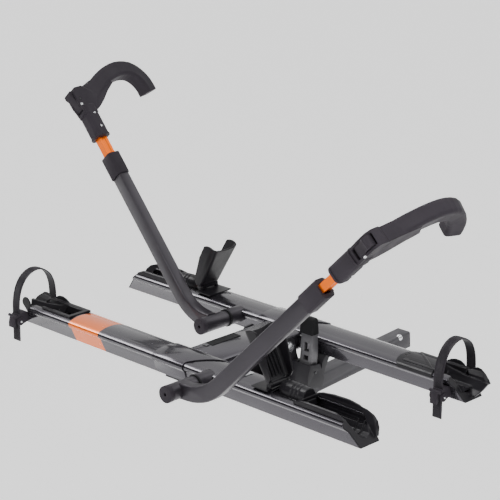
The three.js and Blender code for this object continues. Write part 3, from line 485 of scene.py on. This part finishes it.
ROD_SECTION = {"width": 29, "height": 22, "groove": 8, "deep": 2.2}
ROD_START, ROD_PAST_TUBE = -260, 40
SIDE_FACE, SIDE_SHIFT = 22.4, 1.0
HEAD_RIVET_Z, HEAD_RIVET_SIZE = 21.6, 1.5
SLEEVE_RIVETS_X, SLEEVE_RIVET_Y = (26, 72), 4.4
SLEEVE_RIVET_LIFT, SLEEVE_RIVET_SIZE = 1.1, 1.3
STRIP_OUTLINE = [(14, 0), (18, -4), (80, -4), (86, 0), (86, 9), (80, 13), (18, 13), (14, 10)]
STRIP_SUNK, STRIP_PROUD = 3, 0.5
SLEEVE_CORNER_Y, SLEEVE_CORNER_Z, SLEEVE_RADIUS = 11, 9, 14
CORNER_STEPS = 6
# (low, high, how far it stands out) of the two rims round the sleeve.
RIMS = {"mouth": (-3.0, 3.5, 1.2), "flange": (76.0, 81.0, 2.0)}
RIM_EDGE = 1.2


def sleeve_outline(grow, shift):
    """The sleeve's rounded rectangle in (y, z), grown all round and shifted sideways in z."""
    outline = []
    for sx, sy, start in ((1, 1, 0), (-1, 1, 90), (-1, -1, 180), (1, -1, 270)):
        for i in range(CORNER_STEPS + 1):
            turn = math.radians(start + 90 / CORNER_STEPS * i)
            outline.append((
                sx * SLEEVE_CORNER_Y + (SLEEVE_RADIUS + grow) * math.cos(turn),
                sy * SLEEVE_CORNER_Z + (SLEEVE_RADIUS + grow) * math.sin(turn) + shift,
            ))
    return outline


for label, arm in ARM_SIDES.items():
    matrix = arm_frame(arm)
    head = matrix @ Matrix.Translation((arm["out"] * MM, 0, 0))

    mesh = bmesh.new()
    prism(mesh, grooved(**ROD_SECTION), ROD_START, arm["out"] + ROD_PAST_TUBE)
    rod = add_piece(
        f"rod_grooved_{label}", mesh, matrix @ ALONG_X, f"hook_{label}", ORANGE,
    )
    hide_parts(f"hook_rod_{label}")

    # rivets and a raised strip on both sides of the sleeve, and one rivet on the head's near side
    for hand, where in ((-1, "near"), (1, "far")):
        face = SIDE_FACE + (SIDE_SHIFT if hand == arm["mirror"] else -SIDE_SHIFT)
        mesh = bmesh.new()
        if where == "near":
            dome(mesh, *arm["rivet"], hand * HEAD_RIVET_Z, HEAD_RIVET_SIZE, hand)
        for along in SLEEVE_RIVETS_X:
            dome(mesh, along, SLEEVE_RIVET_Y, hand * (face + SLEEVE_RIVET_LIFT), SLEEVE_RIVET_SIZE, hand)
        add_piece(f"rivets_{label}_{where}", mesh, head, f"hook_{label}", ZINC, 0)
        mesh = bmesh.new()
        low, high = sorted((hand * (face - STRIP_SUNK), hand * (face + STRIP_PROUD)))
        prism(mesh, STRIP_OUTLINE, low, high)
        add_piece(f"strip_{label}_{where}", mesh, head, f"hook_{label}", PLASTIC)

    # lip at the mouth of the sleeve, and flange between sleeve and block
    for kind, (low, high, grow) in RIMS.items():
        mesh = bmesh.new()
        prism(mesh, sleeve_outline(grow, arm["mirror"]), low, high)
        add_piece(
            f"sleeve_{kind}_{label}", mesh, head @ ALONG_X, f"hook_{label}", PLASTIC,
            RIM_EDGE,
        )

# ---- straps and buckles -----------------------------------------------------

# Middle line of the strap in (across the tray, up), as in the CAD part.
STRAP_LINE = [
    (-37, -48), (-36.5, -10), (-36, 30), (-35, 68), (-27, 103), (-10, 132), (12, 148),
    (35, 153), (57, 148), (80, 131), (94, 104), (99, 74), (99.5, 40),
]


POINTS_PER_SPAN = 24


def centripetal(points):
    """Centripetal Catmull-Rom curve through the points."""
    pts = [Vector(p) for p in points]
    pts = [2 * pts[0] - pts[1], *pts, 2 * pts[-1] - pts[-2]]
    out = []
    for p0, p1, p2, p3 in zip(pts, pts[1:], pts[2:], pts[3:]):
        d0, d1, d2 = ((b - a).length ** 0.5 for a, b in ((p0, p1), (p1, p2), (p2, p3)))
        t1 = ((p1 - p0) / d0 - (p2 - p0) / (d0 + d1) + (p2 - p1) / d1) * d1
        t2 = ((p2 - p1) / d1 - (p3 - p1) / (d1 + d2) + (p3 - p2) / d2) * d1
        for i in range(POINTS_PER_SPAN):
            t = i / POINTS_PER_SPAN
            out.append(
                p1 * (2 * t**3 - 3 * t**2 + 1) + t1 * (t**3 - 2 * t**2 + t)
                + p2 * (3 * t**2 - 2 * t**3) + t2 * (t**3 - t**2)
            )
    out.append(pts[-2])
    return out


def resample(points, step):
    """(place, tangent) pairs at even steps along a polyline."""
    out = []
    travelled, due = 0.0, 0.0
    for a, b in zip(points, points[1:]):
        length = (b - a).length
        while length > 0 and due <= travelled + length:
            out.append((a.lerp(b, (due - travelled) / length), (b - a).normalized()))
            due += step
        travelled += length
    return out


RACK_MIDDLE_X = -15
STRAP_X = {"outer": RACK_MIDDLE_X - 632, "inner": RACK_MIDDLE_X + 590}
TOOTH = 2.5
STRAP_SIDES = (-18, 12)
STRAP_HALF_THICK = 1.5
TEETH_FROM, TEETH_TO = 4, -20
TEETH_HALF_WIDTH = 9
TOOTH_TIP, TOOTH_ROOT, TOOTH_BASE = 2.3, 1.3, 0.6
RATCHET_CENTRE = (-37, 14)
RATCHET_RADIUS, RATCHET_THICK = 11.5, 3.8
HUB_RADIUS, HUB_FROM, HUB_TO = 7.0, 3.3, 5.3
RATCHET_PIN_FROM = 5.1
# (side, name, distance of the wheel's inner face from the strap's plane)
RATCHETS = ((1, "right", 15.2), (-1, "left", 18.4))

line = centripetal(STRAP_LINE)
marks = resample(line, TOOTH / 2)
for label in ("outer", "inner"):
    place = Matrix.Translation(Vector((STRAP_X[label], TRAY_Y[label], TRAY_Z)) * MM) @ ALONG_X
    mesh = bmesh.new()
    outside = [tuple(p + Vector((-t.y, t.x)) * STRAP_HALF_THICK) for p, t in marks]
    inside = [tuple(p - Vector((-t.y, t.x)) * STRAP_HALF_THICK) for p, t in marks]
    prism(mesh, outside + inside[::-1], *STRAP_SIDES)
    band = add_piece(f"strap_band_{label}", mesh, place, "rack_frame", STRAP, 0.7)
    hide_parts(f"strap_{label}")

    mesh = bmesh.new()
    teeth = []
    base = []
    for i, (p, t) in enumerate(marks[TEETH_FROM:TEETH_TO]):
        out_dir = Vector((-t.y, t.x))
        lift = TOOTH_TIP if i % 2 else TOOTH_ROOT
        teeth.append(tuple(p + out_dir * lift))
        base.append(tuple(p + out_dir * TOOTH_BASE))
    middle = sum(STRAP_SIDES) / 2
    prism(mesh, teeth + base[::-1], middle - TEETH_HALF_WIDTH, middle + TEETH_HALF_WIDTH)
    add_piece(f"strap_teeth_{label}", mesh, place, "rack_frame", STRAP, 0, False)

    # ratchet wheels at both sides of the buckle, with a hub
    for hand, where, inner in RATCHETS:
        mesh = bmesh.new()
        low, high = sorted((hand * inner, hand * (inner + RATCHET_THICK)))
        prism(mesh, circle(*RATCHET_CENTRE, RATCHET_RADIUS), low, high)
        low, high = sorted((hand * (inner + HUB_FROM), hand * (inner + HUB_TO)))
        prism(mesh, circle(*RATCHET_CENTRE, HUB_RADIUS), low, high)
        add_piece(f"ratchet_{label}_{where}", mesh, place, "rack_frame", PLASTIC, 0.8)
        mesh = bmesh.new()
        dome(mesh, *RATCHET_CENTRE, hand * (inner + RATCHET_PIN_FROM), 1, hand)
        add_piece(f"ratchet_pin_{label}_{where}", mesh, place, "rack_frame", ZINC, 0)

# ---- spine detail -----------------------------------------------------------

# A small tab on top of the spine: x, y and z ranges in mm.
SPINE_TAB = (-46, -30, -680, -667, 187.2, 189.6)

mesh = bmesh.new()
block(mesh, *SPINE_TAB)
add_piece("spine_tab", mesh, Matrix.Identity(4), "rack_frame", CAST, 0.8)

# ---- stage, light and camera ----------------------------------------------


def smooth_range(tree, value, start, end, low, high):
    """Eases from low at start to high at end."""
    eased = ramp(tree, value, low, high, start, end)
    eased.node.interpolation_type = "SMOOTHSTEP"
    return eased


def along_direction(tree, vector, direction):
    """How far a direction points along another, from -1 to 1."""
    node = tree.nodes.new("ShaderNodeVectorMath")
    node.operation = "DOT_PRODUCT"
    node.inputs[1].default_value = direction
    tree.links.new(vector, node.inputs[0])
    return node.outputs["Value"]


FLOOR_LEVEL = -1.8
FLOOR_SIZE = 400
FLOOR_GLOW = 0.42
FLOOR_DARKER, FLOOR_LIGHTER = (0.89, 0.89, 0.89), (0.91, 0.91, 0.91)
floor_mat, floor_tree, floor_bsdf = shader("floor", (0.9, 0.9, 0.9), metallic=0.0, rough=0.8)
tone = ramp(floor_tree, noise(floor_tree, 3.0), 0.0, 1.0)
floor_color = mix_color(floor_tree, tone, FLOOR_DARKER, FLOOR_LIGHTER)
floor_tree.links.new(floor_color, floor_bsdf.inputs["Base Color"])
floor_bsdf.inputs["Emission Color"].default_value = (1, 1, 1, 1)
floor_bsdf.inputs["Emission Strength"].default_value = FLOOR_GLOW
bpy.ops.mesh.primitive_plane_add(size=FLOOR_SIZE, location=(0, 0, FLOOR_LEVEL))
floor = bpy.context.object
floor.name = "floor"
floor.data.materials.append(floor_mat)

# A dim even sky with four soft lobes, fixed in the world: (direction, cosine where it starts, cosine
# where it is full, brightness). Their directions were chosen so that the tray shoulders and the arm
# faces reflect as in the photo.
SKY_BASE = 0.1
SKY_LOBES = (
    ((0, 0, 1), 0.45, 0.9, 0.8),
    ((-0.70, 0.714, 0.0), 0.2, 0.85, 0.75),
    ((-0.67, -0.12, 0.73), 0.968, 0.992, 14.0),
    ((0.31, 0.68, 0.665), 0.86, 0.98, 1.6),
)
world = bpy.data.worlds.new("studio")
world.use_nodes = True
sky = world.node_tree
toward = sky.nodes.new("ShaderNodeTexCoord").outputs["Generated"]
total = SKY_BASE
for direction, start, full, brightness in SKY_LOBES:
    facing = along_direction(sky, toward, direction)
    lobe = smooth_range(sky, facing, start, full, 0.0, brightness)
    total = arithmetic(sky, "ADD", lobe, total)
sky.nodes["Background"].inputs["Color"].default_value = (1, 1, 1, 1)
sky.links.new(total, sky.nodes["Background"].inputs["Strength"])
bpy.context.scene.world = world


def softbox(name, place, target, size, watts):
    """A rectangular area light that faces a target."""
    light = bpy.data.lights.new(name, "AREA")
    light.shape = "RECTANGLE"
    light.size, light.size_y = size
    light.energy = watts
    lamp = bpy.data.objects.new(name, light)
    lamp.location = place
    lamp.rotation_mode = "QUATERNION"
    lamp.rotation_quaternion = (Vector(target) - Vector(place)).to_track_quat("-Z", "Y")
    bpy.context.scene.collection.objects.link(lamp)


softbox("key", place=(2.6, -1.2, 2.6), target=(0, -0.5, 0.2), size=(1.6, 1.2), watts=45)
softbox("fill", place=(0.6, -4.6, 2.2), target=(0, -0.6, 0.2), size=(2.4, 1.8), watts=80)

# The photograph's viewing angle, fitted to the tray edges, the arms and the tongue.
AZIMUTH, ELEVATION = math.radians(44.6275), math.radians(17.8809)
LENS = 133.03
CAMERA_PLACE = (3.3333, -3.9193, 1.9667)
camera_data = bpy.data.cameras.new("camera")
camera_data.sensor_width = 36
camera_data.lens = LENS
camera_data.clip_start = 0.1
camera_data.clip_end = 100
camera = bpy.data.objects.new("camera", camera_data)
bpy.context.scene.collection.objects.link(camera)
camera.location = CAMERA_PLACE
ahead = Vector((
    -math.sin(AZIMUTH) * math.cos(ELEVATION),
    math.cos(AZIMUTH) * math.cos(ELEVATION),
    -math.sin(ELEVATION),
))
camera.rotation_mode = "QUATERNION"
camera.rotation_quaternion = ahead.to_track_quat("-Z", "Y")
bpy.context.scene.camera = camera
